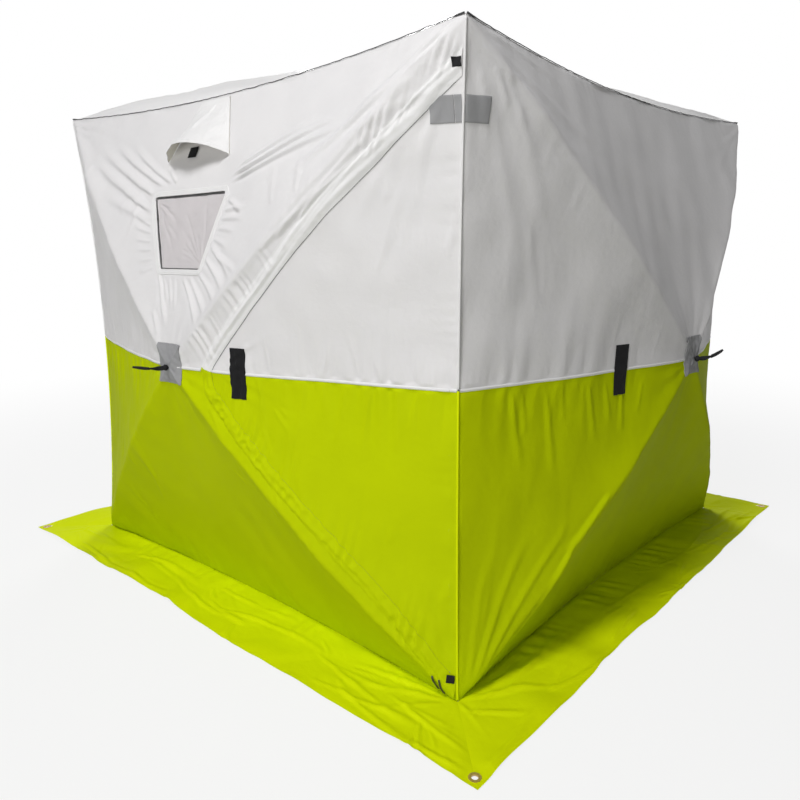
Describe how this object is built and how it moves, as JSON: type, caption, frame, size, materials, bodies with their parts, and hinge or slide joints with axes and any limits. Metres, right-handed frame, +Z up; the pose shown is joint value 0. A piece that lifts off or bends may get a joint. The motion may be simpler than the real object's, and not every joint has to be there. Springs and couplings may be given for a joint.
{
  "type": "ice fishing hut",
  "caption": "Pop-up cube tent for ice fishing: cloth walls sprung out by hubs of bowed rods, a corner-hung zip door, a window, a hooded vent and a ground skirt.",
  "frame": {"origin": "centre of the square base, on the ground", "axes": "+Z up; the door wall faces -Y, and the door hangs on its +X corner"},
  "size_m": [2.398, 2.398, 1.885],
  "materials": {
    "white_cloth": "coated polyester, slight sheen",
    "lime_cloth": "coated polyester, slight sheen",
    "grey_patch_cloth": "heavier woven cloth",
    "black_webbing": "woven nylon",
    "zip_tape_cloth": "woven tape with moulded teeth",
    "mesh": "open mesh",
    "dark_binding": "woven binding",
    "clear_film": "clear flexible film",
    "glass_fibre_rod": "glass fibre",
    "black_plastic": "moulded nylon",
    "brass": "bright"
  },
  "bodies": {
    "hut": {"front_wall_upper": "white_cloth", "right_wall_upper": "white_cloth", "back_wall_upper": "white_cloth", "left_wall_upper": "white_cloth", "roof_panel": "white_cloth", "corner_strip_upper": "white_cloth", "storm_flap_upper": "white_cloth", "vent_hood": "white_cloth", "window_border": "white_cloth", "corner_piping_upper": "white_cloth", "front_wall_lower": "lime_cloth", "right_wall_lower": "lime_cloth", "back_wall_lower": "lime_cloth", "left_wall_lower": "lime_cloth", "corner_strip_lower": "lime_cloth", "storm_flap_lower": "lime_cloth", "corner_piping_lower": "lime_cloth", "front_skirt": "lime_cloth", "right_skirt": "lime_cloth", "back_skirt": "lime_cloth", "left_skirt": "lime_cloth", "wall_hub_patches": "grey_patch_cloth", "roof_hub_patch": "grey_patch_cloth", "corner_patch": "grey_patch_cloth", "window_cover": "grey_patch_cloth", "wall_pull_straps": "black_webbing", "roof_pull_strap": "black_webbing", "wall_strap": "black_webbing", "zip_end_tabs": "black_webbing", "zip_pulls": "black_webbing", "vent_stay": "black_webbing", "zip_tape": "zip_tape_cloth", "vent_mesh": "mesh", "eaves_binding": "dark_binding", "window_film": "clear_film", "front_rods": "glass_fibre_rod", "right_rods": "glass_fibre_rod", "back_rods": "glass_fibre_rod", "left_rods": "glass_fibre_rod", "roof_rods": "glass_fibre_rod", "wall_hubs": "black_plastic", "roof_hub": "black_plastic", "top_sockets": "black_plastic", "foot_sockets": "black_plastic", "skirt_eyelets": "brass"},
    "door": {"door_upper": "white_cloth", "door_lower": "lime_cloth", "door_zip_tape": "zip_tape_cloth", "door_strap": "black_webbing", "door_corner_patch": "grey_patch_cloth"}
  },
  "joints": [
    {"name": "door_hinge", "type": "hinge", "parent": "hut", "child": "door", "pos_m": [0.904, -0.904, 0.8], "axis": [0, 0, 1], "range_deg": [0, 210]}
  ]
}
